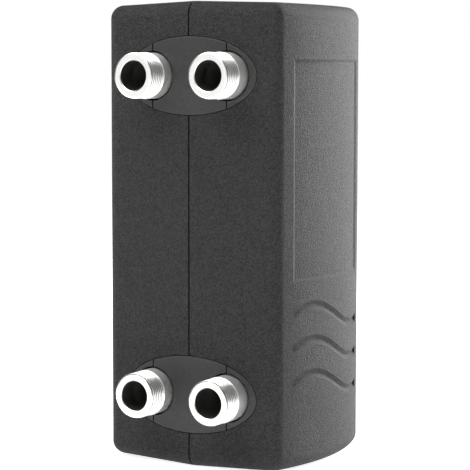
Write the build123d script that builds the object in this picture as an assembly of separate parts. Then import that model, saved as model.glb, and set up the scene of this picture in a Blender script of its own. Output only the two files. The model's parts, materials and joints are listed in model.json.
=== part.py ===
"""Brazed plate heat exchanger with threaded ports in a two-piece foam insulation jacket.

Frame: millimetres. The origin is the centre of the four ports in the plane of their open ends.
+X is to the right and +Z is up when looking at the ports, and +Y runs into the exchanger.
"""
from build123d import *
import math
import os

# Ports
PORT_EDGE_X = 27.0           # port centre to the side edge of the plates, for 63 mm centres
PORT_EDGE_Z = 26.5           # port centre to the end edge of the plates, for 234 mm centres
PORT_THREAD_R = 33.249 / 2   # G1 external thread, major radius
PORT_THREAD_LENGTH = 15.7
PORT_BORE_R = 10.95
PORT_HEIGHT = 45.1           # open end to the cover plate
PORT_SHANK_R = 16.9          # plain part below the thread
PORT_FOOT_LEDGE = 0.9        # brazed foot on the cover plate, beyond the shank
PORT_FOOT_HEIGHT = 3.0
PORT_END_CHAMFER = 1.2
PORT_BORE_CHAMFER = 0.6

# Plate pack
PLATE_WIDTH = 117.0
PLATE_HEIGHT = 287.0
PLATE_CORNER_R = 17.0
CHANNEL_PLATES = 40
PLATE_PITCH = 2.36
PLATE_THICKNESS = 0.4
RIM_THICKNESS = 0.35
RIM_HEIGHT = 3.2             # longer than the pitch, so each rim nests over the next one
BRAZE_GAP = 0.05             # copper film between nested rims
PLATE_PORT_LEDGE = 1.05      # port holes of the plates, beyond the port's bore
PORT_SEAL_WIDTH = 4.0        # raised ring that closes a port to every other channel
COVER_THICKNESS = 2.0
COVER_EDGE_R = 1.2

# Foam jacket
SIDE_WALL = 25.0             # at the middle of the bulging sides
END_WALL = 27.4              # at the seam
FRONT_WALL = 19.7            # at the seam
REAR_WALL = 19.9             # at the seam
SIDE_BULGE = 12.9            # rise of each side's arc over its depth
FACE_DRAFT = 2.6             # degrees, front and rear faces, back from the seam
END_DRAFT = 1.9              # degrees, top and bottom faces, down from the seam
END_EDGE_R = 10.0
SIDE_CORNER_EXTRA = 1.0      # radius of the upright corners, beyond END_EDGE_R
SEAM_GROOVE_GAP = 0.5        # each side of the seam, round its outer edge
SEAM_GROOVE_DEPTH = 3.0
SEAM_EDGE_R = 0.5
PACK_CLEARANCE = 0.5
PEG_R = 6.0
PEG_LENGTH = 8.0
PEG_CHAMFER = 1.5
PEG_CLEARANCE = 0.3
PEG_PITCH_Y = 60.0

# Decoration sunk into each side of the jacket
PANEL_END_MARGIN = 19.5      # jacket front or rear face, at the seam, to the decoration
PANEL_TOP_MARGIN = 42.4      # jacket top, at the seam, to the panel
PANEL_TO_WAVES = 28.3        # panel to the mean height of the top wave
PANEL_DEPTH = 1.2
PANEL_SLOPE_RUN = 2.0        # width of the panel's sloping walls
WAVE_COUNT = 3
WAVE_PITCH = 25.2
WAVE_BOTTOM_MARGIN = 61.4    # jacket bottom, at the seam, to the mean height of the lowest wave
WAVE_RISE = 10.0             # crest above the mean height
WAVE_WIDTH = 7.0
WAVE_DEPTH = 1.7
WAVE_FLOOR_WIDTH = 1.2
WAVE_STATIONS = 13           # sections that each wave is lofted through
WAVE_CREST_FROM_FRONT = 40.0
WAVE_HALF_LENGTH = 65.0      # crest to trough

# Oval inserts around each pair of ports
OVAL_RIM_X = 6.2             # port hole to the oval's tip
OVAL_RIM_Z = 10.7            # port hole's radius short of the oval's half height
OVAL_GAP = 0.5
SLIT_GAP = 0.5               # each side of the plane through the port centres
INSERT_HOLE_CLEARANCE = 0.5  # around the port's foot
INSERT_EDGE_R = 0.6

# Places and fits worked out from the sizes above
PORT_X = PLATE_WIDTH / 2 - PORT_EDGE_X
PORT_Z = PLATE_HEIGHT / 2 - PORT_EDGE_Z
PORT_FOOT_R = PORT_SHANK_R + PORT_FOOT_LEDGE
PLATE_PORT_R = PORT_BORE_R + PLATE_PORT_LEDGE
PORT_SEAL_R = PLATE_PORT_R + PORT_SEAL_WIDTH
INSERT_HOLE_R = PORT_FOOT_R + INSERT_HOLE_CLEARANCE
OVAL_HALF_WIDTH = PORT_X + INSERT_HOLE_R + OVAL_RIM_X
OVAL_HALF_HEIGHT = INSERT_HOLE_R + OVAL_RIM_Z
SIDE_CORNER_R = END_EDGE_R + SIDE_CORNER_EXTRA
JACKET_WIDTH = PLATE_WIDTH + 2 * (PACK_CLEARANCE + SIDE_WALL)
JACKET_HEIGHT = PLATE_HEIGHT + 2 * (PACK_CLEARANCE + END_WALL)
WAVE_LOWEST_Z = WAVE_BOTTOM_MARGIN - JACKET_HEIGHT / 2
WAVE_HIGHEST_Z = WAVE_LOWEST_Z + (WAVE_COUNT - 1) * WAVE_PITCH
PANEL_TOP_Z = JACKET_HEIGHT / 2 - PANEL_TOP_MARGIN
PANEL_BOTTOM_Z = WAVE_HIGHEST_Z + PANEL_TO_WAVES
COVER_FACE_Y = PORT_HEIGHT
FIRST_PLATE_Y = COVER_FACE_Y + COVER_THICKNESS
REAR_COVER_Y = FIRST_PLATE_Y + CHANNEL_PLATES * PLATE_PITCH
PACK_END_Y = REAR_COVER_Y + COVER_THICKNESS
JACKET_FRONT_Y = COVER_FACE_Y - FRONT_WALL
JACKET_REAR_Y = PACK_END_Y + REAR_WALL
JACKET_MID_Y = (JACKET_FRONT_Y + JACKET_REAR_Y) / 2
JACKET_DEPTH = JACKET_REAR_Y - JACKET_FRONT_Y
CAVITY_FRONT_Y = COVER_FACE_Y - PACK_CLEARANCE
CAVITY_REAR_Y = PACK_END_Y + PACK_CLEARANCE
CORNER_X = JACKET_WIDTH / 2 - SIDE_BULGE
CORNER_RECESS = CORNER_X * math.tan(math.radians(FACE_DRAFT))
SIDE_HALF_CHORD = JACKET_DEPTH / 2 - CORNER_RECESS
SIDE_ARC_R = (SIDE_HALF_CHORD ** 2 + SIDE_BULGE ** 2) / (2 * SIDE_BULGE)
SIDE_ARC_X = JACKET_WIDTH / 2 - SIDE_ARC_R
RIM_SLOPE = (RIM_THICKNESS + BRAZE_GAP) / PLATE_PITCH
RIM_FLARE = math.degrees(math.atan(RIM_SLOPE))
OUTSIDE = 10.0               # how far cutting tools run past the surface they cut


def prism(sketch, front_y, rear_y, taper=0.0):
    """Extrude a sketch drawn in X and Z from rear_y forward to front_y, narrowing by taper."""
    return extrude(Plane.XZ.offset(-rear_y) * sketch, amount=rear_y - front_y, taper=taper)


def plate_outline(inset=0.0):
    """Rounded rectangle of the plate pack, inset all round."""
    return RectangleRounded(PLATE_WIDTH - 2 * inset, PLATE_HEIGHT - 2 * inset, PLATE_CORNER_R - inset)


def port_places():
    """Name and centre of each port, looking at the ports."""
    return {
        "top_left": (-PORT_X, PORT_Z),
        "top_right": (PORT_X, PORT_Z),
        "bottom_left": (-PORT_X, -PORT_Z),
        "bottom_right": (PORT_X, -PORT_Z),
    }


# ---- exchanger -------------------------------------------------------------------------------

def port_stub(x, z):
    """Threaded connector: plain shank, brazed foot, open bore. The thread is its major cylinder."""
    thread = Circle(PORT_THREAD_R)
    shank = Circle(PORT_SHANK_R)
    foot = Circle(PORT_FOOT_R)
    foot_y = PORT_HEIGHT - PORT_FOOT_HEIGHT
    body = prism(thread, 0, PORT_THREAD_LENGTH) + prism(shank, PORT_THREAD_LENGTH, foot_y)
    body += prism(foot, foot_y, PORT_HEIGHT)
    body -= prism(Circle(PORT_BORE_R), 0, PORT_HEIGHT)
    end_edges = body.edges().filter_by(GeomType.CIRCLE).group_by(Axis.Y)[0].sort_by(SortBy.RADIUS)
    body = chamfer(end_edges[-1], PORT_END_CHAMFER)
    end_edges = body.edges().filter_by(GeomType.CIRCLE).group_by(Axis.Y)[0].sort_by(SortBy.RADIUS)
    body = chamfer(end_edges[0], PORT_BORE_CHAMFER)
    return Pos(x, 0, z) * body


def front_cover():
    """Thick outer plate that the ports stand on."""
    body = prism(plate_outline(), COVER_FACE_Y, FIRST_PLATE_Y)
    body = fillet(body.edges().group_by(Axis.Y)[0], COVER_EDGE_R)
    for x, z in port_places().values():
        body -= prism(Pos(x, z) * Circle(PLATE_PORT_R), COVER_FACE_Y, FIRST_PLATE_Y)
    return body


def rear_cover():
    """Thick outer plate without ports, seated inside the last channel plate's rim."""
    rim_run = RIM_HEIGHT - PLATE_PITCH
    inset = rim_run * RIM_SLOPE + RIM_THICKNESS + BRAZE_GAP
    body = prism(plate_outline(inset), REAR_COVER_Y, PACK_END_Y)
    return fillet(body.edges().group_by(Axis.Y)[-1], COVER_EDGE_R)


def channel_plate(index):
    """Pressed plate: flat web, flared rim, four port holes, seal rings on one pair of ports."""
    web_y = FIRST_PLATE_Y + index * PLATE_PITCH
    rim_end_y = web_y + RIM_HEIGHT
    body = prism(plate_outline(), web_y, rim_end_y, RIM_FLARE)
    body -= prism(plate_outline(RIM_THICKNESS), web_y + PLATE_THICKNESS, rim_end_y, RIM_FLARE)
    sealed_side = -1 if index % 2 == 0 else 1
    for x, z in port_places().values():
        if x * sealed_side > 0:
            body += prism(Pos(x, z) * Circle(PORT_SEAL_R), web_y, web_y + PLATE_PITCH)
    for x, z in port_places().values():
        body -= prism(Pos(x, z) * Circle(PLATE_PORT_R), web_y, rim_end_y)
    return body


# ---- foam jacket -----------------------------------------------------------------------------

def seam_groove():
    """Slot round the outer edge of the seam face, so that the halves part along a clean line."""
    beyond = Rectangle(JACKET_DEPTH + 2 * OUTSIDE, JACKET_HEIGHT + 2 * OUTSIDE)
    contact = RectangleRounded(
        JACKET_DEPTH - 2 * SEAM_GROOVE_DEPTH, JACKET_HEIGHT - 2 * SEAM_GROOVE_DEPTH,
        END_EDGE_R - SEAM_GROOVE_DEPTH)
    return extrude(Plane.YZ * Pos(JACKET_MID_Y, 0) * (beyond - contact), amount=SEAM_GROOVE_GAP)


def half_block():
    """Right half of the jacket's outer shape, solid, with its seam face on X = 0."""
    front_corner = (CORNER_X, JACKET_FRONT_Y + CORNER_RECESS)
    rear_corner = (CORNER_X, JACKET_REAR_Y - CORNER_RECESS)
    plan = make_face([
        Line((0, JACKET_FRONT_Y), front_corner),
        ThreePointArc(front_corner, (JACKET_WIDTH / 2, JACKET_MID_Y), rear_corner),
        Line(rear_corner, (0, JACKET_REAR_Y)),
        Line((0, JACKET_REAR_Y), (0, JACKET_FRONT_Y)),
    ])
    half_height = JACKET_HEIGHT / 2
    reach = JACKET_WIDTH
    drop = reach * math.tan(math.radians(END_DRAFT))
    elevation = make_face(Polyline(
        (0, half_height), (reach, half_height - drop), (reach, drop - half_height), (0, -half_height),
        close=True))
    block = extrude(Pos(0, 0, -half_height) * plan, amount=JACKET_HEIGHT)
    block &= prism(elevation, JACKET_FRONT_Y - OUTSIDE, JACKET_REAR_Y + OUTSIDE)
    side_corners = block.edges().filter_by(Axis.Z).filter_by(lambda e: e.center().X > CORNER_X / 2)
    block = fillet(side_corners, SIDE_CORNER_R)
    ends = [block.faces().sort_by(Axis.Z)[0], block.faces().sort_by(Axis.Z)[-1]]
    end_edges = [e for face in ends for e in face.edges() if e.center().X > SEAM_EDGE_R]
    block = fillet(end_edges, END_EDGE_R)
    block -= seam_groove()
    lip = block.faces().filter_by(Axis.X).sort_by(Axis.X)[1]
    return fillet(lip.outer_wire().edges(), SEAM_EDGE_R)


def side_point(y_on_side, outward, z, run=0.0):
    """Point above or below the right side's arc, run along the arc from a place given by its Y."""
    angle = math.asin((y_on_side - JACKET_MID_Y) / SIDE_ARC_R) + run / SIDE_ARC_R
    radius = SIDE_ARC_R + outward
    return (SIDE_ARC_X + radius * math.cos(angle), JACKET_MID_Y + radius * math.sin(angle), z)


def panel_tool():
    """Rectangular field sunk into the right side, with sloping walls all round."""
    beyond = OUTSIDE / PANEL_DEPTH
    front_y = JACKET_FRONT_Y + PANEL_END_MARGIN
    rear_y = JACKET_REAR_Y - PANEL_END_MARGIN
    plan = make_face(Polyline(
        side_point(front_y, -PANEL_DEPTH, 0, PANEL_SLOPE_RUN),
        side_point(front_y, OUTSIDE, 0, -PANEL_SLOPE_RUN * beyond),
        side_point(JACKET_MID_Y, JACKET_DEPTH, 0),
        side_point(rear_y, OUTSIDE, 0, PANEL_SLOPE_RUN * beyond),
        side_point(rear_y, -PANEL_DEPTH, 0, -PANEL_SLOPE_RUN),
        (SIDE_ARC_X, JACKET_MID_Y, 0), close=True))
    low_edge = [(SIDE_ARC_R - PANEL_DEPTH, PANEL_BOTTOM_Z + PANEL_SLOPE_RUN),
                (SIDE_ARC_R + OUTSIDE, PANEL_BOTTOM_Z - PANEL_SLOPE_RUN * beyond)]
    high_edge = [(SIDE_ARC_R + OUTSIDE, PANEL_TOP_Z + PANEL_SLOPE_RUN * beyond),
                 (SIDE_ARC_R - PANEL_DEPTH, PANEL_TOP_Z - PANEL_SLOPE_RUN)]
    arc_centre = Plane(origin=(SIDE_ARC_X, JACKET_MID_Y, 0), x_dir=(1, 0, 0), z_dir=(0, -1, 0))
    section = arc_centre * make_face(Polyline(*low_edge, *high_edge, close=True))
    ring = revolve(section, Axis((SIDE_ARC_X, JACKET_MID_Y, 0), (0, 0, 1)))
    column = extrude(Pos(0, 0, -JACKET_HEIGHT / 2) * plan, amount=JACKET_HEIGHT)
    return ring & column


def wave_tool(index):
    """One wave-shaped groove with sloping walls, below the panel."""
    start_y = JACKET_FRONT_Y + PANEL_END_MARGIN
    end_y = JACKET_REAR_Y - PANEL_END_MARGIN
    crest_y = JACKET_FRONT_Y + WAVE_CREST_FROM_FRONT
    mean_z = WAVE_LOWEST_Z + index * WAVE_PITCH
    above = 1.0
    flare = (WAVE_WIDTH - WAVE_FLOOR_WIDTH) / 2 * above / WAVE_DEPTH
    sections = []
    for station in range(WAVE_STATIONS):
        y = start_y + (end_y - start_y) * station / (WAVE_STATIONS - 1)
        z = mean_z + WAVE_RISE * math.cos(math.pi * (y - crest_y) / WAVE_HALF_LENGTH)
        sections.append(make_face(Polyline(
            side_point(y, -WAVE_DEPTH, z - WAVE_FLOOR_WIDTH / 2),
            side_point(y, above, z - WAVE_WIDTH / 2 - flare),
            side_point(y, above, z + WAVE_WIDTH / 2 + flare),
            side_point(y, -WAVE_DEPTH, z + WAVE_FLOOR_WIDTH / 2), close=True)))
    return loft(sections)


def oval(gap=0.0):
    """Outline of both insert openings, shrunk by gap all round."""
    ellipse = Ellipse(OVAL_HALF_WIDTH - gap, OVAL_HALF_HEIGHT - gap)
    return {"top": Pos(0, PORT_Z) * ellipse, "bottom": Pos(0, -PORT_Z) * ellipse}


def peg_places():
    """Centres, in Y and Z, of the locating pegs in the middle of the jacket's walls."""
    end_z = (PLATE_HEIGHT / 2 + PACK_CLEARANCE + JACKET_HEIGHT / 2) / 2
    front_y = (JACKET_FRONT_Y + CAVITY_FRONT_Y) / 2
    rear_y = (JACKET_REAR_Y + CAVITY_REAR_Y) / 2
    places = [(front_y, 0), (rear_y, 0)]
    for y in (JACKET_MID_Y - PEG_PITCH_Y / 2, JACKET_MID_Y + PEG_PITCH_Y / 2):
        places += [(y, end_z), (y, -end_z)]
    return places


def half_shell():
    """Right half of the jacket, hollowed for the pack, before its pegs or sockets."""
    shell = half_block()
    cavity = plate_outline(-PACK_CLEARANCE)
    shell -= prism(cavity, CAVITY_FRONT_Y, CAVITY_REAR_Y)
    for opening in oval().values():
        shell -= prism(opening, JACKET_FRONT_Y - OUTSIDE, CAVITY_FRONT_Y)
    shell -= panel_tool()
    for index in range(WAVE_COUNT):
        shell -= wave_tool(index)
    return shell


def left_shell(blank):
    """Mirrored half with the locating pegs that stand out of its seam face."""
    shell = mirror(blank, about=Plane.YZ)
    for y, z in peg_places():
        peg = Pos(0, y, z) * Rot(0, 90, 0) * Cylinder(
            PEG_R, PEG_LENGTH, align=(Align.CENTER, Align.CENTER, Align.MIN))
        shell += chamfer(peg.edges().group_by(Axis.X)[-1], PEG_CHAMFER)
    return shell


def right_shell(blank):
    """Half with the sockets that take the pegs."""
    shell = blank
    for y, z in peg_places():
        shell -= Pos(0, y, z) * Rot(0, 90, 0) * Cylinder(
            PEG_R + PEG_CLEARANCE, PEG_LENGTH + PEG_CLEARANCE,
            align=(Align.CENTER, Align.CENTER, Align.MIN))
    return shell


def oval_plug(outline):
    """One whole insert: crowned face level with the jacket at the seam and at its two tips."""
    tip_y = JACKET_FRONT_Y + OVAL_HALF_WIDTH * math.tan(math.radians(FACE_DRAFT))
    left = (-OVAL_HALF_WIDTH, tip_y)
    right = (OVAL_HALF_WIDTH, tip_y)
    plan = make_face([
        ThreePointArc(left, (0, JACKET_FRONT_Y), right),
        Line(right, (OVAL_HALF_WIDTH, CAVITY_FRONT_Y)),
        Line((OVAL_HALF_WIDTH, CAVITY_FRONT_Y), (-OVAL_HALF_WIDTH, CAVITY_FRONT_Y)),
        Line((-OVAL_HALF_WIDTH, CAVITY_FRONT_Y), left),
    ])
    crowned = extrude(Pos(0, 0, -JACKET_HEIGHT / 2) * plan, amount=JACKET_HEIGHT)
    plug = crowned & prism(outline, JACKET_FRONT_Y - OUTSIDE, CAVITY_FRONT_Y)
    face_edge = plug.faces().sort_by(Axis.Y)[0].edges()
    return fillet(face_edge, INSERT_EDGE_R)


def insert_pieces(end):
    """An insert split by the plane through its port centres into a centre and two crescents."""
    plug = oval_plug(oval(OVAL_GAP)[end])
    for x, z in port_places().values():
        plug -= prism(Pos(x, z) * Circle(INSERT_HOLE_R), JACKET_FRONT_Y - OUTSIDE, CAVITY_FRONT_Y)
    centre_width = 2 * (PORT_X - SLIT_GAP)
    side_width = OVAL_HALF_WIDTH
    side_x = PORT_X + SLIT_GAP + side_width / 2
    slabs = {
        "centre": Rectangle(centre_width, JACKET_HEIGHT),
        "left": Pos(-side_x, 0) * Rectangle(side_width, JACKET_HEIGHT),
        "right": Pos(side_x, 0) * Rectangle(side_width, JACKET_HEIGHT),
    }
    pieces = {}
    for name, slab in slabs.items():
        pieces[name] = plug & prism(slab, JACKET_FRONT_Y - OUTSIDE, CAVITY_FRONT_Y)
    return pieces


# ---- assembly --------------------------------------------------------------------------------

def build_nodes():
    """Every separate piece by its node name."""
    nodes = {"front_cover_plate": front_cover(), "rear_cover_plate": rear_cover()}
    for name, (x, z) in port_places().items():
        nodes[f"port_{name}"] = port_stub(x, z)
    for index in range(CHANNEL_PLATES):
        nodes[f"channel_plate_{index + 1:02d}"] = channel_plate(index)
    blank = half_shell()
    nodes["left_shell"] = left_shell(blank)
    nodes["right_shell"] = right_shell(blank)
    for end in ("top", "bottom"):
        for name, piece in insert_pieces(end).items():
            nodes[f"{end}_insert_{name}"] = piece
    return nodes


def main():
    os.makedirs("parts", exist_ok=True)
    for name, shape in build_nodes().items():
        export_step(shape, f"parts/{name}.step")


if __name__ == "__main__":
    main()
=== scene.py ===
"""Brazed plate heat exchanger in a two-piece foam jacket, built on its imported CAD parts."""

import json
import math

import bmesh
import bpy
from bpy.props import FloatProperty, FloatVectorProperty, IntProperty, PointerProperty
from mathutils import Matrix, Vector


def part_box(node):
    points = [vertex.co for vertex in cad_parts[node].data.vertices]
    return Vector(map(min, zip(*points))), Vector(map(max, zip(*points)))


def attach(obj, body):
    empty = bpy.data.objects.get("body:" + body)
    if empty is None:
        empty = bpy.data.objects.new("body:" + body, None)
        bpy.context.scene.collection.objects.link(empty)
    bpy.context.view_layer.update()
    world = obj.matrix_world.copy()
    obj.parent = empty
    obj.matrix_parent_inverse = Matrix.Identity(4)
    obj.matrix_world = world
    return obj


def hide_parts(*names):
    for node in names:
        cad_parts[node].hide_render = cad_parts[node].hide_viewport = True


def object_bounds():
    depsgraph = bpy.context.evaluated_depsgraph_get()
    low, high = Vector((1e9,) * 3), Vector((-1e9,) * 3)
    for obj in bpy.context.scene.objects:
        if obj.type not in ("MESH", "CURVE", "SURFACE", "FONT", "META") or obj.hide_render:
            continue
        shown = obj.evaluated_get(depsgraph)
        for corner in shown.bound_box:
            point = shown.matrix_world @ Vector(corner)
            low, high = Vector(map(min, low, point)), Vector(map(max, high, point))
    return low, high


bl_info = {
    "name": "Plate Heat Exchanger",
    "version": (1, 0, 0),
    "blender": (4, 5, 0),
    "location": "3D View > Sidebar > Heat Exchanger",
    "description": "Threaded ports, plate pack, foam jacket and studio of a heat exchanger",
    "category": "Add Mesh",
}

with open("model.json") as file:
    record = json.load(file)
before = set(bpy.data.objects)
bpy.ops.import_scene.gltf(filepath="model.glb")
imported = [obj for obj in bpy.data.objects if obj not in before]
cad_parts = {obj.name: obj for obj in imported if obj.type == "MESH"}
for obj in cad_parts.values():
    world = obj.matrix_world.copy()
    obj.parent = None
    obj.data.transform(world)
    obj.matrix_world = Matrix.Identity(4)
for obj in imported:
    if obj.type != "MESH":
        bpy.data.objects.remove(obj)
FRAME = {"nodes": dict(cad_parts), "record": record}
CAD_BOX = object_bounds()
MOUNTS = {mount["name"]: mount for mount in FRAME["record"]["mounts"]}

PORT_NAMES = ("top_left", "top_right", "bottom_left", "bottom_right")
SHELL_NODES = ("left_shell", "right_shell")
INSERT_NODES = tuple(
    f"{end}_insert_{part}" for end in ("top", "bottom") for part in ("left", "centre", "right")
)
COVER_NODES = ("front_cover_plate", "rear_cover_plate")
PLATE_NODES = tuple(sorted(name for name in FRAME["nodes"] if name.startswith("channel_plate")))

PORT_LOW, PORT_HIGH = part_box("port_top_left")
THREAD_MAJOR_R = MOUNTS["top_left_thread"]["dims"]["r_mm"] / 1000
BORE_R = MOUNTS["top_left_bore"]["dims"]["r_mm"] / 1000
PLATE_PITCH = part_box(PLATE_NODES[1])[0].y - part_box(PLATE_NODES[0])[0].y

SURFACE_OUTPUTS = (
    ("Color", "NodeSocketColor"), ("Roughness", "NodeSocketFloat"), ("Height", "NodeSocketFloat"),
)
# spread of the tone, mean roughness, and depth of the pits in metres
JACKET_SKIN = {"speckle": 1.8, "matt": 0.72, "pit_depth": 0.00048}
INSERT_SKIN = {"speckle": 0.4, "matt": 0.42, "pit_depth": 0.00008}
FOAM_SPECULAR = 0.24
# painted shade: near-black colour laid into the thread roots
THREAD_ROOT_PAINTED_SHADE = (0.07, 0.068, 0.064, 1)
# painted shade: dark colour laid on the wall inside the bore
BORE_PAINTED_SHADE = (0.16, 0.157, 0.15, 1)
STRAW_TINT = (0.33, 0.27, 0.20, 1)
SCRATCH_SCALE = (2600.0, 2600.0, 45.0)   # fine across the sheet, long up it
LATHE_RIPPLE = 0.000012                  # height of the tool's rings, in metres
SHEET_RIPPLE = 0.000008                  # height of the rolled scratches, in metres
FLOOR_RADIUS = 8.0

# name, place from the object's middle, width and height, and the setting with its power
STUDIO_LIGHTS = (
    ("key_light", (0.83, 1.78, 0.60), (0.7, 1.4), "key_power"),
    ("window_light", (-0.95, -1.55, 0.50), (1.1, 1.1), "window_power"),
    ("ceiling_light", (-0.20, -0.45, 1.00), (1.2, 1.0), "ceiling_power"),
)


# ---- settings ----------------------------------------------------------------------------------


class PortSettings(bpy.types.PropertyGroup):
    """Sizes of the four turned port connectors, which fill their CAD parts' boxes."""

    thread_pitch: FloatProperty(
        name="Thread pitch", description="Advance of the pipe thread in one turn",
        default=0.002309, min=0.0005, precision=6, unit="LENGTH")
    thread_depth: FloatProperty(
        name="Thread depth", description="Crest to root of the pipe thread",
        default=0.00148, min=0.0001, precision=6, unit="LENGTH")
    thread_length: FloatProperty(
        name="Thread length", description="Open end to the last turn of thread",
        default=0.0157, min=0.001, precision=5, unit="LENGTH")
    end_chamfer: FloatProperty(
        name="End chamfer", description="Lead on the outside of the open end",
        default=0.0012, min=0.0001, precision=5, unit="LENGTH")
    shank_radius: FloatProperty(
        name="Shank radius", description="Plain part between thread and foot",
        default=0.0169, min=0.001, precision=5, unit="LENGTH")
    foot_height: FloatProperty(
        name="Foot height", description="Wider ring brazed to the cover plate",
        default=0.003, min=0.0005, precision=5, unit="LENGTH")
    braze_fillet: FloatProperty(
        name="Braze fillet", description="Copper fillet round the foot",
        default=0.00042, min=0.0001, precision=6, unit="LENGTH")
    segments: IntProperty(
        name="Segments", description="Faces round each connector", default=144, min=24, max=256)


class FoamSettings(bpy.types.PropertyGroup):
    """Finish of the moulded bead foam."""

    jacket_color: FloatVectorProperty(
        name="Jacket colour", description="Skin of the two jacket halves",
        default=(0.0195, 0.0195, 0.0198), size=3, min=0, max=1, subtype="COLOR")
    # painted light: the inserts are the same foam as the jacket, and their lighter colour stands in
    # for the brighter light and sheen they show
    insert_color: FloatVectorProperty(
        name="Insert colour", description="Skin of the oval inserts",
        default=(0.0285, 0.0285, 0.0290), size=3, min=0, max=1, subtype="COLOR")
    bead_size: FloatProperty(
        name="Bead size", description="Width of one foam bead",
        default=0.0032, min=0.0005, precision=5, unit="LENGTH")
    grain_size: FloatProperty(
        name="Grain size", description="Width of one pit of the mould's grained surface",
        default=0.0009, min=0.0002, precision=5, unit="LENGTH")


class SteelSettings(bpy.types.PropertyGroup):
    """Finish of the stainless steel and of the copper that joins it."""

    steel_color: FloatVectorProperty(
        name="Steel colour", description="Turned stainless steel of the ports",
        default=(0.74, 0.735, 0.72), size=3, min=0, max=1, subtype="COLOR")
    sheet_color: FloatVectorProperty(
        name="Sheet colour", description="Stainless sheet of the covers and channel plates",
        default=(0.36, 0.358, 0.35), size=3, min=0, max=1, subtype="COLOR")
    copper_color: FloatVectorProperty(
        name="Copper colour", description="Braze metal",
        default=(0.46, 0.22, 0.12), size=3, min=0, max=1, subtype="COLOR")


class StudioSettings(bpy.types.PropertyGroup):
    """Camera, floor and lights."""

    azimuth: FloatProperty(
        name="Azimuth", description="Camera's turn to the right of the port side",
        default=math.radians(30.204), subtype="ANGLE", unit="ROTATION")
    elevation: FloatProperty(
        name="Elevation", description="Camera's angle above the horizon",
        default=math.radians(4.873), subtype="ANGLE", unit="ROTATION")
    roll: FloatProperty(
        name="Roll", description="Camera's turn about its own axis",
        default=math.radians(0.064), subtype="ANGLE", unit="ROTATION")
    distance: FloatProperty(
        name="Distance", description="Camera to the point it looks at",
        default=1.2965, min=0.1, unit="LENGTH", precision=4)
    aim: FloatVectorProperty(
        name="Aim", description="Point the camera looks at",
        default=(0.05402, 0.0, 0.00521), size=3, subtype="TRANSLATION", unit="LENGTH", precision=5)
    lens: FloatProperty(
        name="Lens", description="Focal length on a 36 mm sensor, in millimetres",
        default=141.0, min=10, max=400, unit="CAMERA")
    floor_color: FloatVectorProperty(
        name="Floor colour", description="Pale floor",
        default=(0.92, 0.92, 0.92), size=3, min=0, max=1, subtype="COLOR")
    floor_glow: FloatProperty(
        name="Floor glow", description="Light of the translucent floor itself", default=0.92, min=0)
    key_power: FloatProperty(
        name="Key light", description="Soft light behind the right side",
        default=117.0, min=0, unit="POWER")
    window_power: FloatProperty(
        name="Window light", description="Large soft light in front, to the left",
        default=3.2, min=0, unit="POWER")
    ceiling_power: FloatProperty(
        name="Ceiling light", description="Large soft light above and in front",
        default=23.0, min=0, unit="POWER")
    fill_strength: FloatProperty(
        name="Fill", description="Brightness of the room all round", default=0.22, min=0)


# ---- node helpers ------------------------------------------------------------------------------


def add_node(tree, kind, inputs=None, **settings):
    """Add a node, set its properties, then link or set its inputs by name or index."""
    node = tree.nodes.new(kind)
    for key, value in settings.items():
        setattr(node, key, value)
    for key, value in (inputs or {}).items():
        socket = node.inputs[key]
        if isinstance(value, bpy.types.NodeSocket):
            tree.links.new(value, socket)
        else:
            socket.default_value = value
    return node


def calc(tree, operation, first, second=0.0, third=0.0):
    """Output of a Math node. Works in shader and geometry trees."""
    node = add_node(
        tree, "ShaderNodeMath", {0: first, 1: second, 2: third}, operation=operation)
    return node.outputs[0]


def ramp(tree, value, low, high, to_low=0.0, to_high=1.0):
    """Smooth step of value between low and high."""
    return add_node(
        tree, "ShaderNodeMapRange",
        {"Value": value, "From Min": low, "From Max": high, "To Min": to_low, "To Max": to_high},
        interpolation_type="SMOOTHSTEP").outputs["Result"]


def blend_color(tree, factor, first, second):
    """Mix of two colours or colour sockets."""
    return add_node(
        tree, "ShaderNodeMix", {0: factor, 6: first, 7: second}, data_type="RGBA").outputs[2]


def new_group(name, kind, inputs, outputs):
    """Node group with named sockets. Returns it with its input node and its output node."""
    group = bpy.data.node_groups.new(name, kind)
    for title, socket_type, default in inputs:
        socket = group.interface.new_socket(title, in_out="INPUT", socket_type=socket_type)
        if default is not None:
            socket.default_value = default
    for title, socket_type in outputs:
        group.interface.new_socket(title, in_out="OUTPUT", socket_type=socket_type)
    return group, group.nodes.new("NodeGroupInput"), group.nodes.new("NodeGroupOutput")


def rgba(color):
    """Colour with full alpha."""
    return (*color, 1.0)


# ---- shared surface effects --------------------------------------------------------------------


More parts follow.
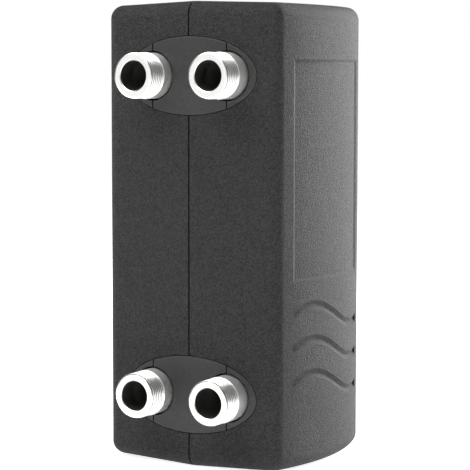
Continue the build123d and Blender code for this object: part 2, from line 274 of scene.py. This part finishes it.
def moulded_grain_group():
    """Skin of moulded bead foam: beads pressed flat, and the mould's fine grain over them."""
    group, source, target = new_group(
        "moulded_grain", "ShaderNodeTree",
        [("Position", "NodeSocketVector", None), ("Bead Size", "NodeSocketFloat", 0.003),
         ("Grain Size", "NodeSocketFloat", 0.001),
         ("Skin", "NodeSocketColor", (0.05, 0.05, 0.05, 1)),
         ("Speckle", "NodeSocketFloat", 0.3), ("Matt", "NodeSocketFloat", 0.7)],
        SURFACE_OUTPUTS)
    position, bead, grain, skin, speckle, matt = (source.outputs[i] for i in range(6))
    bead_scale = calc(group, "DIVIDE", 1.0, bead)
    grain_scale = calc(group, "DIVIDE", 1.0, grain)
    edges = add_node(
        group, "ShaderNodeTexVoronoi", {"Vector": position, "Scale": bead_scale},
        feature="DISTANCE_TO_EDGE").outputs["Distance"]
    tones = add_node(
        group, "ShaderNodeTexVoronoi", {"Vector": position, "Scale": bead_scale}).outputs["Color"]
    tone = add_node(group, "ShaderNodeSeparateColor", {"Color": tones}).outputs[0]
    pits = add_node(
        group, "ShaderNodeTexNoise",
        {"Vector": position, "Scale": grain_scale, "Detail": 2.0, "Roughness": 0.6}).outputs["Fac"]
    flecks = add_node(
        group, "ShaderNodeTexVoronoi", {"Vector": position, "Scale": grain_scale}).outputs["Color"]
    fleck = add_node(group, "ShaderNodeSeparateColor", {"Color": flecks}).outputs[0]
    cloud = add_node(
        group, "ShaderNodeTexNoise",
        {"Vector": position, "Scale": 28.0, "Detail": 1.0}).outputs["Fac"]
    seam = ramp(group, edges, 0.0, 0.16)
    pits_sharp = ramp(group, pits, 0.32, 0.68)
    mottle = calc(group, "MULTIPLY_ADD", pits_sharp, 0.4, calc(group, "MULTIPLY", fleck, 0.6))
    light = calc(group, "MULTIPLY", calc(group, "SUBTRACT", mottle, 0.5), speckle)
    light = calc(group, "MULTIPLY_ADD", calc(group, "SUBTRACT", tone, 0.5), 0.12, light)
    light = calc(group, "MULTIPLY_ADD", calc(group, "SUBTRACT", cloud, 0.5), 0.18, light)
    light = calc(group, "MULTIPLY_ADD", calc(group, "SUBTRACT", seam, 1.0), 0.10, light)
    gain = calc(group, "ADD", light, 1.0)
    shade = add_node(
        group, "ShaderNodeVectorMath", {0: skin, 3: gain}, operation="SCALE").outputs["Vector"]
    height = calc(group, "MULTIPLY_ADD", seam, 0.25, pits_sharp)
    group.links.new(shade, target.inputs["Color"])
    rough = calc(group, "MULTIPLY_ADD", calc(group, "SUBTRACT", pits, 0.5), 0.3, matt)
    group.links.new(rough, target.inputs["Roughness"])
    group.links.new(height, target.inputs["Height"])
    return group


def tool_marks_group():
    """Fine rings left by turning, from the distance along the profile and round it."""
    group, source, target = new_group(
        "tool_marks", "ShaderNodeTree",
        [("Along", "NodeSocketFloat", 0.0), ("Round", "NodeSocketFloat", 0.0),
         ("Feed", "NodeSocketFloat", 0.0003), ("Smooth", "NodeSocketFloat", 0.2)],
        [("Roughness", "NodeSocketFloat"), ("Height", "NodeSocketFloat")])
    along, around, feed, smooth = (source.outputs[i] for i in range(4))
    lay = add_node(group, "ShaderNodeCombineXYZ", {
        0: calc(group, "DIVIDE", along, feed), 1: calc(group, "MULTIPLY", around, 6.0)}).outputs[0]
    rings = add_node(
        group, "ShaderNodeTexNoise", {"Vector": lay, "Scale": 0.5, "Detail": 2.0},
        noise_dimensions="2D").outputs["Fac"]
    stain = add_node(
        group, "ShaderNodeTexNoise", {"Vector": lay, "Scale": 0.04, "Detail": 2.0},
        noise_dimensions="2D").outputs["Fac"]
    rough = calc(group, "MULTIPLY_ADD", rings, 0.10, smooth)
    rough = calc(group, "MULTIPLY_ADD", stain, 0.08, rough)
    group.links.new(rough, target.inputs["Roughness"])
    group.links.new(rings, target.inputs["Height"])
    return group


def rolled_sheet_group():
    """Long fine scratches of rolled stainless sheet, running up the plates."""
    group, source, target = new_group(
        "rolled_sheet", "ShaderNodeTree",
        [("Position", "NodeSocketVector", None), ("Steel", "NodeSocketColor", (0.8, 0.8, 0.8, 1)),
         ("Heat Tint", "NodeSocketFloat", 0.3)],
        SURFACE_OUTPUTS)
    position, steel, tint = (source.outputs[i] for i in range(3))
    lay = add_node(
        group, "ShaderNodeMapping", {"Vector": position, "Scale": SCRATCH_SCALE}).outputs[0]
    lines = add_node(
        group, "ShaderNodeTexNoise", {"Vector": lay, "Scale": 1.0, "Detail": 3.0}).outputs["Fac"]
    patches = add_node(
        group, "ShaderNodeTexNoise",
        {"Vector": position, "Scale": 16.0, "Detail": 3.0}).outputs["Fac"]
    straw = blend_color(group, calc(group, "MULTIPLY", ramp(group, patches, 0.4, 0.7), tint),
                        steel, STRAW_TINT)
    group.links.new(straw, target.inputs["Color"])
    rough = calc(group, "MULTIPLY_ADD", lines, 0.16, 0.22)
    rough = calc(group, "MULTIPLY_ADD", patches, 0.12, rough)
    group.links.new(rough, target.inputs["Roughness"])
    group.links.new(lines, target.inputs["Height"])
    return group


def new_material(name):
    """Empty node material with a Principled shader. Returns material, tree and shader node."""
    material = bpy.data.materials.new(name)
    material.use_nodes = True
    tree = material.node_tree
    tree.nodes.clear()
    shader = tree.nodes.new("ShaderNodeBsdfPrincipled")
    output = tree.nodes.new("ShaderNodeOutputMaterial")
    tree.links.new(shader.outputs["BSDF"], output.inputs["Surface"])
    return material, tree, shader


def bump(tree, shader, height, distance):
    """Feed a height, times a distance in metres, to the shader's normal."""
    node = add_node(
        tree, "ShaderNodeBump", {"Height": height, "Distance": distance, "Strength": 1.0})
    tree.links.new(node.outputs["Normal"], shader.inputs["Normal"])


def object_position(tree):
    """Position in the object's own coordinates."""
    return tree.nodes.new("ShaderNodeTexCoord").outputs["Object"]


def place_group(tree, group, inputs):
    """Add a group node with its inputs set or linked."""
    return add_node(tree, "ShaderNodeGroup", inputs, node_tree=group)


def foam_material(name, grain_group, color, settings, speckle, matt, pit_depth):
    """Bead foam skin in one colour."""
    material, tree, shader = new_material(name)
    skin = place_group(tree, grain_group, {
        "Position": object_position(tree), "Bead Size": settings.bead_size,
        "Grain Size": settings.grain_size, "Skin": rgba(color), "Speckle": speckle,
        "Matt": matt})
    tree.links.new(skin.outputs["Color"], shader.inputs["Base Color"])
    tree.links.new(skin.outputs["Roughness"], shader.inputs["Roughness"])
    shader.inputs["Specular IOR Level"].default_value = FOAM_SPECULAR
    bump(tree, shader, skin.outputs["Height"], pit_depth)
    return material


def turned_steel_material(marks_group, color):
    """Machined stainless steel with rings from the tool, and painted shade that darkens the thread
    roots and the bore.
    """
    material, tree, shader = new_material("turned_steel")
    lay = tree.nodes.new("ShaderNodeUVMap")
    lay.uv_map = "turning"
    round_about, along, _ = add_node(tree, "ShaderNodeSeparateXYZ", {0: lay.outputs["UV"]}).outputs
    marks = place_group(tree, marks_group, {"Along": along, "Round": round_about, "Smooth": 0.20})
    root, bore, shank = (
        add_node(tree, "ShaderNodeAttribute", attribute_name=title).outputs["Fac"]
        for title in ("thread_root", "bore_wall", "plain_shank"))
    # painted shade: the thread roots are darkened towards a near-black colour; the same mask makes
    # them rougher
    root_shade_and_matt = ramp(tree, root, 0.25, 0.65)
    tint = blend_color(tree, calc(tree, "MULTIPLY", root_shade_and_matt, 0.9), rgba(color), THREAD_ROOT_PAINTED_SHADE)
    # painted shade inside the bore: its wall is darkened; the same mask makes it rougher
    tint = blend_color(tree, calc(tree, "MULTIPLY", bore, 0.8), tint, BORE_PAINTED_SHADE)
    tree.links.new(tint, shader.inputs["Base Color"])
    rough = calc(tree, "MULTIPLY_ADD", root_shade_and_matt, 0.2, marks.outputs["Roughness"])
    rough = calc(tree, "MULTIPLY_ADD", shank, 0.24, rough)
    rough = calc(tree, "MULTIPLY_ADD", bore, 0.12, rough)
    tree.links.new(rough, shader.inputs["Roughness"])
    shader.inputs["Metallic"].default_value = 1.0
    bump(tree, shader, marks.outputs["Height"], LATHE_RIPPLE)
    return material


def sheet_steel_material(name, sheet_group, color, tint):
    """Rolled stainless sheet."""
    material, tree, shader = new_material(name)
    sheet = place_group(tree, sheet_group, {
        "Position": object_position(tree), "Steel": rgba(color), "Heat Tint": tint})
    tree.links.new(sheet.outputs["Color"], shader.inputs["Base Color"])
    tree.links.new(sheet.outputs["Roughness"], shader.inputs["Roughness"])
    shader.inputs["Metallic"].default_value = 1.0
    bump(tree, shader, sheet.outputs["Height"], SHEET_RIPPLE)
    return material


def brazed_plate_material(sheet_group, settings):
    """Channel plate steel, with copper where each nested rim ends on the next one."""
    material, tree, shader = new_material("brazed_plate_steel")
    position = object_position(tree)
    sheet = place_group(tree, sheet_group, {
        "Position": position, "Steel": rgba(settings.sheet_color), "Heat Tint": 0.5})
    y = add_node(tree, "ShaderNodeSeparateXYZ", {0: position}).outputs[1]
    first_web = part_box(PLATE_NODES[0])[0].y
    plates = calc(tree, "DIVIDE", calc(tree, "SUBTRACT", y, first_web), PLATE_PITCH)
    layer = calc(tree, "FRACT", plates)
    run = add_node(
        tree, "ShaderNodeTexNoise",
        {"Vector": position, "Scale": 90.0, "Detail": 2.0}).outputs["Fac"]
    reach = calc(tree, "MULTIPLY_ADD", calc(tree, "SUBTRACT", run, 0.5), 0.22, layer)
    film_start = ramp(tree, reach, 0.12, 0.24)
    film_end = ramp(tree, reach, 0.44, 0.60, 1.0, 0.0)
    film = calc(tree, "MULTIPLY", film_start, film_end)
    tree.links.new(
        blend_color(tree, film, sheet.outputs["Color"], rgba(settings.copper_color)),
        shader.inputs["Base Color"])
    tree.links.new(sheet.outputs["Roughness"], shader.inputs["Roughness"])
    shader.inputs["Metallic"].default_value = 1.0
    bump(tree, shader, sheet.outputs["Height"], SHEET_RIPPLE)
    return material


def copper_material(color):
    """Copper braze, matt and slightly rippled."""
    material, tree, shader = new_material("copper_braze")
    ripple = add_node(tree, "ShaderNodeTexNoise", {
        "Vector": object_position(tree), "Scale": 900.0, "Detail": 2.0}).outputs["Fac"]
    tree.links.new(
        blend_color(tree, ripple, rgba(color), rgba([c * 0.6 for c in color])),
        shader.inputs["Base Color"])
    tree.links.new(ramp(tree, ripple, 0.3, 0.7, 0.25, 0.45), shader.inputs["Roughness"])
    shader.inputs["Metallic"].default_value = 1.0
    bump(tree, shader, ripple, 0.00005)
    return material


def finish_node(name, material):
    """Give a CAD part its material."""
    piece = FRAME["nodes"][name]
    piece.data.materials.clear()
    piece.data.materials.append(material)


# ---- port connectors ---------------------------------------------------------------------------


def port_centre(name):
    """Axis of a port as (x, z), from its CAD part's box."""
    low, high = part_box(f"port_{name}")
    return (low.x + high.x) / 2, (low.z + high.z) / 2


def run_points(start, end, steps):
    """Points after start and up to end, evenly spaced, as (radius, y)."""
    return [tuple(a + (b - a) * i / steps for a, b in zip(start, end)) for i in range(1, steps + 1)]


def port_profile(settings):
    """Closed outline of a port's wall as (radius, y), dense where the thread is cut."""
    foot_r = (PORT_HIGH.x - PORT_LOW.x) / 2
    cover_y = PORT_HIGH.y
    foot_y = cover_y - settings.foot_height
    chamfer = settings.end_chamfer
    bore_chamfer = chamfer / 2
    thread_end = settings.thread_length
    step = settings.thread_pitch / 16
    turns = round((thread_end - chamfer) / step)
    corner = 0.0003
    outline = [(BORE_R, bore_chamfer), (BORE_R + bore_chamfer, 0.0)]
    outline += run_points(outline[-1], (THREAD_MAJOR_R - chamfer, 0.0), 3)
    outline += run_points(outline[-1], (THREAD_MAJOR_R, chamfer), 8)
    outline += run_points(outline[-1], (THREAD_MAJOR_R, thread_end), turns)
    outline += [
        (settings.shank_radius - corner, thread_end + 0.00004),
        (settings.shank_radius, thread_end + corner),
    ]
    outline += run_points(outline[-1], (settings.shank_radius, foot_y - corner), 8)
    outline += [
        (settings.shank_radius + corner * 0.3, foot_y - corner * 0.3),
        (settings.shank_radius + corner, foot_y),
        (foot_r - corner, foot_y),
        (foot_r, foot_y + corner),
        (foot_r, cover_y),
        (BORE_R, cover_y),
    ]
    outline += run_points(outline[-1], outline[0], 10)[:-1]
    return outline


def lathe(name, profile, centre, segments):
    """Turn a closed outline of (radius, y) about an axis along Y, with a map of the turning."""
    centre_x, centre_z = centre
    bm = bmesh.new()
    rings = []
    for radius, y in profile:
        ring = []
        for i in range(segments):
            angle = 2 * math.pi * i / segments
            ring.append(bm.verts.new((
                centre_x + radius * math.cos(angle), y, centre_z + radius * math.sin(angle))))
        rings.append(ring)
    lay = bm.loops.layers.uv.new("turning")
    along = [0.0]
    for (r0, y0), (r1, y1) in zip(profile, profile[1:] + profile[:1]):
        along.append(along[-1] + math.hypot(r1 - r0, y1 - y0))
    for k, ring in enumerate(rings):
        following = rings[(k + 1) % len(rings)]
        for i in range(segments):
            j = (i + 1) % segments
            face = bm.faces.new((ring[i], ring[j], following[j], following[i]))
            face.smooth = True
            places = ((i, k), (i + 1, k), (i + 1, k + 1), (i, k + 1))
            for loop, (turn, row) in zip(face.loops, places):
                loop[lay].uv = (turn / segments, along[row])
    bmesh.ops.recalc_face_normals(bm, faces=bm.faces)
    mesh = bpy.data.meshes.new(name)
    bm.to_mesh(mesh)
    bm.free()
    piece = bpy.data.objects.new(name, mesh)
    bpy.context.scene.collection.objects.link(piece)
    return piece


def thread_cutter_tree():
    """Geometry nodes that cut a right-hand thread by moving a turned blank's points inwards."""
    tree, source, target = new_group(
        "cut_thread", "GeometryNodeTree",
        [("Geometry", "NodeSocketGeometry", None), ("Centre X", "NodeSocketFloat", 0.0),
         ("Centre Z", "NodeSocketFloat", 0.0), ("Major Radius", "NodeSocketFloat", 0.0166),
         ("Bore Radius", "NodeSocketFloat", 0.012),
         ("Pitch", "NodeSocketFloat", 0.0023), ("Depth", "NodeSocketFloat", 0.0015),
         ("Length", "NodeSocketFloat", 0.0157), ("Run Out", "NodeSocketFloat", 0.0015),
         ("Material", "NodeSocketMaterial", None)],
        [("Geometry", "NodeSocketGeometry")])
    blank = source.outputs["Geometry"]
    position = tree.nodes.new("GeometryNodeInputPosition").outputs[0]
    place = add_node(tree, "ShaderNodeSeparateXYZ", {0: position})
    x = calc(tree, "SUBTRACT", place.outputs["X"], source.outputs["Centre X"])
    z = calc(tree, "SUBTRACT", place.outputs["Z"], source.outputs["Centre Z"])
    y = place.outputs["Y"]
    radius = calc(tree, "SQRT", calc(tree, "MULTIPLY_ADD", x, x, calc(tree, "MULTIPLY", z, z)))
    turn = calc(tree, "DIVIDE", calc(tree, "ARCTAN2", z, x), 2 * math.pi)
    helix = calc(tree, "ADD", calc(tree, "DIVIDE", y, source.outputs["Pitch"]), turn)
    flank = calc(tree, "MULTIPLY", calc(tree, "PINGPONG", helix, 0.5), 2.0)
    groove = ramp(tree, flank, 0.10, 0.90)
    last = calc(tree, "SUBTRACT", source.outputs["Length"], source.outputs["Run Out"])
    fade = ramp(tree, y, last, source.outputs["Length"], 1.0, 0.0)
    cut = calc(tree, "MULTIPLY", groove, fade)
    root = calc(tree, "MULTIPLY_ADD", cut, calc(tree, "MULTIPLY", source.outputs["Depth"], -1.0),
                source.outputs["Major Radius"])
    sunk = calc(tree, "SUBTRACT", calc(tree, "MINIMUM", radius, root), radius)
    gain = calc(tree, "DIVIDE", sunk, radius)
    rootward = calc(tree, "DIVIDE", calc(tree, "MULTIPLY", sunk, -1.0), source.outputs["Depth"])
    offset = add_node(tree, "ShaderNodeCombineXYZ", {
        0: calc(tree, "MULTIPLY", x, gain), 2: calc(tree, "MULTIPLY", z, gain)}).outputs[0]
    threaded = calc(tree, "LESS_THAN", y, source.outputs["Length"])
    stored = add_node(
        tree, "GeometryNodeStoreNamedAttribute",
        {"Geometry": blank, "Name": "thread_root",
         "Value": calc(tree, "MULTIPLY", rootward, threaded)},
        data_type="FLOAT", domain="POINT").outputs["Geometry"]
    bore_limit = calc(tree, "ADD", source.outputs["Bore Radius"], 0.0001)
    bored = calc(tree, "LESS_THAN", radius, bore_limit)
    plain = calc(tree, "SUBTRACT", 1.0, threaded)
    for title, zone in (("bore_wall", bored), ("plain_shank", plain)):
        stored = add_node(
            tree, "GeometryNodeStoreNamedAttribute",
            {"Geometry": stored, "Name": title, "Value": zone},
            data_type="FLOAT", domain="POINT").outputs["Geometry"]
    moved = add_node(
        tree, "GeometryNodeSetPosition",
        {"Geometry": stored, "Selection": threaded, "Offset": offset}).outputs["Geometry"]
    angle = tree.nodes.new("GeometryNodeInputMeshEdgeAngle").outputs["Unsigned Angle"]
    crease = add_node(tree, "FunctionNodeCompare", {0: angle, 1: math.radians(38)},
                      data_type="FLOAT", operation="GREATER_THAN").outputs["Result"]
    shaded = add_node(
        tree, "GeometryNodeSetShadeSmooth",
        {"Geometry": moved, "Selection": crease, "Shade Smooth": False}, domain="EDGE").outputs[0]
    real = add_node(tree, "GeometryNodeRealizeInstances", {"Geometry": shaded}).outputs[0]
    coated = add_node(
        tree, "GeometryNodeSetMaterial",
        {"Geometry": real, "Material": source.outputs["Material"]}).outputs[0]
    tree.links.new(coated, target.inputs["Geometry"])
    return tree


def run_tree(piece, tree, values):
    """Put a geometry tree on a piece, set its named inputs, and keep the result as a plain mesh."""
    modifier = piece.modifiers.new(tree.name, "NODES")
    modifier.node_group = tree
    sockets = {
        item.name: item.identifier for item in tree.interface.items_tree
        if item.item_type == "SOCKET" and item.in_out == "INPUT"
    }
    for title, value in values.items():
        modifier[sockets[title]] = value
    piece.update_tag()
    graph = bpy.context.evaluated_depsgraph_get()
    mesh = bpy.data.meshes.new_from_object(
        piece.evaluated_get(graph), preserve_all_data_layers=True, depsgraph=graph)
    blank = piece.data
    piece.modifiers.remove(modifier)
    mesh.name = piece.name
    piece.data = mesh
    bpy.data.meshes.remove(blank)
    return piece


class HEATEX_OT_turn_ports(bpy.types.Operator):
    """Turn the four steel connectors, cut their threads and braze them to the cover plate"""

    bl_idname = "heatex.turn_ports"
    bl_label = "Turn Port Connectors"

    def execute(self, context):
        settings = context.scene.heatex_ports
        steel = turned_steel_material(tool_marks_group(), context.scene.heatex_steel.steel_color)
        copper = copper_material(context.scene.heatex_steel.copper_color)
        cutter = thread_cutter_tree()
        foot_r = (PORT_HIGH.x - PORT_LOW.x) / 2
        fillet = settings.braze_fillet
        hollow = [
            (foot_r + fillet * (1 - math.cos(a)), PORT_HIGH.y - fillet * (1 - math.sin(a)))
            for a in (i * math.pi / 12 for i in range(7))
        ]
        fillet_profile = hollow + [(foot_r, PORT_HIGH.y)]
        for name in PORT_NAMES:
            centre = port_centre(name)
            connector = lathe(
                f"threaded_port_{name}", port_profile(settings), centre, settings.segments)
            run_tree(connector, cutter, {
                "Centre X": centre[0], "Centre Z": centre[1], "Major Radius": THREAD_MAJOR_R,
                "Bore Radius": BORE_R,
                "Pitch": settings.thread_pitch, "Depth": settings.thread_depth,
                "Length": settings.thread_length, "Material": steel})
            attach(connector, "exchanger")
            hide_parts(f"port_{name}")
            ring = lathe(f"port_braze_{name}", fillet_profile, centre, 96)
            ring.data.materials.append(copper)
            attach(ring, "exchanger")
        return {"FINISHED"}


# ---- plate pack --------------------------------------------------------------------------------


class HEATEX_OT_braze_pack(bpy.types.Operator):
    """Finish the stack of channel plates and its two cover plates"""

    bl_idname = "heatex.braze_pack"
    bl_label = "Braze Plate Pack"

    def execute(self, context):
        settings = context.scene.heatex_steel
        sheet = rolled_sheet_group()
        cover = sheet_steel_material("cover_sheet_steel", sheet, settings.sheet_color, 0.35)
        plate = brazed_plate_material(sheet, settings)
        for name in COVER_NODES:
            finish_node(name, cover)
        for name in PLATE_NODES:
            finish_node(name, plate)
        return {"FINISHED"}


# ---- foam jacket -------------------------------------------------------------------------------


class HEATEX_OT_mould_jacket(bpy.types.Operator):
    """Finish the two foam halves and the oval inserts round the ports"""

    bl_idname = "heatex.mould_jacket"
    bl_label = "Mould Foam Jacket"

    def execute(self, context):
        settings = context.scene.heatex_foam
        grain = moulded_grain_group()
        jacket = foam_material(
            "jacket_bead_foam", grain, settings.jacket_color, settings, **JACKET_SKIN)
        insert = foam_material(
            "insert_bead_foam", grain, settings.insert_color, settings, **INSERT_SKIN)
        for name in SHELL_NODES:
            finish_node(name, jacket)
        for name in INSERT_NODES:
            finish_node(name, insert)
        return {"FINISHED"}


# ---- studio ------------------------------------------------------------------------------------


def soft_light(name, place, aim, size, power):
    """Rectangular area light that faces a point."""
    lamp = bpy.data.lights.new(name, "AREA")
    lamp.shape = "RECTANGLE"
    lamp.size, lamp.size_y = size
    lamp.energy = power
    light = bpy.data.objects.new(name, lamp)
    light.location = place
    light.rotation_mode = "QUATERNION"
    light.rotation_quaternion = (Vector(aim) - Vector(place)).to_track_quat("-Z", "Y")
    bpy.context.scene.collection.objects.link(light)
    return light


def camera_matrix(settings):
    """Camera that looks at the aim point from its azimuth, elevation and distance, with roll."""
    a, e, roll = settings.azimuth, settings.elevation, settings.roll
    forward = Vector((-math.sin(a) * math.cos(e), math.cos(a) * math.cos(e), -math.sin(e)))
    right = forward.cross(Vector((0, 0, 1))).normalized()
    up = right.cross(forward)
    rolled_right = right * math.cos(roll) + up * math.sin(roll)
    rolled_up = up * math.cos(roll) - right * math.sin(roll)
    matrix = Matrix((rolled_right, rolled_up, -forward)).transposed().to_4x4()
    matrix.translation = Vector(settings.aim) - forward * settings.distance
    return matrix


def room_light(strength):
    """Even white room light, seen by the camera as plain white."""
    world = bpy.data.worlds.new("white_room")
    world.use_nodes = True
    tree = world.node_tree
    tree.nodes.clear()
    seen = tree.nodes.new("ShaderNodeLightPath").outputs["Is Camera Ray"]
    level = add_node(
        tree, "ShaderNodeMix", {0: seen, 2: strength, 3: 1.0}, data_type="FLOAT").outputs[0]
    air = add_node(tree, "ShaderNodeBackground", {"Color": (1, 1, 1, 1), "Strength": level})
    output = tree.nodes.new("ShaderNodeOutputWorld")
    tree.links.new(air.outputs[0], output.inputs["Surface"])
    bpy.context.scene.world = world


def pale_floor(color, glow, height):
    """Round floor with a soft matt finish."""
    bm = bmesh.new()
    bmesh.ops.create_circle(
        bm, cap_ends=True, segments=96, radius=FLOOR_RADIUS,
        matrix=Matrix.Translation((0, 0, height)))
    mesh = bpy.data.meshes.new("studio_floor")
    bm.to_mesh(mesh)
    bm.free()
    floor = bpy.data.objects.new("studio_floor", mesh)
    bpy.context.scene.collection.objects.link(floor)
    material, tree, shader = new_material("pale_floor")
    cloud = add_node(tree, "ShaderNodeTexNoise", {
        "Vector": object_position(tree), "Scale": 3.0, "Detail": 2.0}).outputs["Fac"]
    tree.links.new(
        blend_color(tree, cloud, rgba(color), rgba([c * 0.985 for c in color])),
        shader.inputs["Base Color"])
    shader.inputs["Roughness"].default_value = 0.9
    shader.inputs["Specular IOR Level"].default_value = 0.1
    shader.inputs["Emission Color"].default_value = rgba(color)
    shader.inputs["Emission Strength"].default_value = glow
    mesh.materials.append(material)
    return floor


class HEATEX_OT_set_studio(bpy.types.Operator):
    """Set the pale floor, the soft lights and the camera"""

    bl_idname = "heatex.set_studio"
    bl_label = "Set Studio"

    def execute(self, context):
        settings = context.scene.heatex_studio
        low, high = CAD_BOX
        middle = (low + high) / 2
        pale_floor(settings.floor_color, settings.floor_glow, low.z)
        for name, place, size, power in STUDIO_LIGHTS:
            soft_light(name, middle + Vector(place), middle, size, getattr(settings, power))
        room_light(settings.fill_strength)
        lens = bpy.data.cameras.new("camera")
        lens.lens = settings.lens
        camera = bpy.data.objects.new("camera", lens)
        camera.matrix_world = camera_matrix(settings)
        context.scene.collection.objects.link(camera)
        context.scene.camera = camera
        context.scene.view_settings.view_transform = "Standard"
        return {"FINISHED"}


# ---- sidebar and start -------------------------------------------------------------------------


class HEATEX_PT_sidebar(bpy.types.Panel):
    """Steps and sizes of the heat exchanger"""

    bl_idname = "HEATEX_PT_sidebar"
    bl_label = "Plate Heat Exchanger"
    bl_space_type = "VIEW_3D"
    bl_region_type = "UI"
    bl_category = "Heat Exchanger"

    def draw(self, context):
        for title, settings, operator in (
            ("Ports", "heatex_ports", "heatex.turn_ports"),
            ("Steel", "heatex_steel", "heatex.braze_pack"),
            ("Foam", "heatex_foam", "heatex.mould_jacket"),
            ("Studio", "heatex_studio", "heatex.set_studio"),
        ):
            box = self.layout.box()
            box.label(text=title)
            group = getattr(context.scene, settings)
            for key in group.__annotations__:
                box.prop(group, key)
            box.operator(operator)


CLASSES = (
    PortSettings, FoamSettings, SteelSettings, StudioSettings, HEATEX_OT_turn_ports,
    HEATEX_OT_braze_pack, HEATEX_OT_mould_jacket, HEATEX_OT_set_studio, HEATEX_PT_sidebar,
)
SETTINGS = {
    "heatex_ports": PortSettings, "heatex_foam": FoamSettings,
    "heatex_steel": SteelSettings, "heatex_studio": StudioSettings,
}


def register():
    for cls in CLASSES:
        bpy.utils.register_class(cls)
    for name, kind in SETTINGS.items():
        setattr(bpy.types.Scene, name, PointerProperty(type=kind))


def unregister():
    for name in SETTINGS:
        delattr(bpy.types.Scene, name)
    for cls in reversed(CLASSES):
        bpy.utils.unregister_class(cls)


def main():
    register()
    bpy.ops.heatex.turn_ports()
    bpy.ops.heatex.braze_pack()
    bpy.ops.heatex.mould_jacket()
    bpy.ops.heatex.set_studio()


if __name__ == "__main__":
    main()
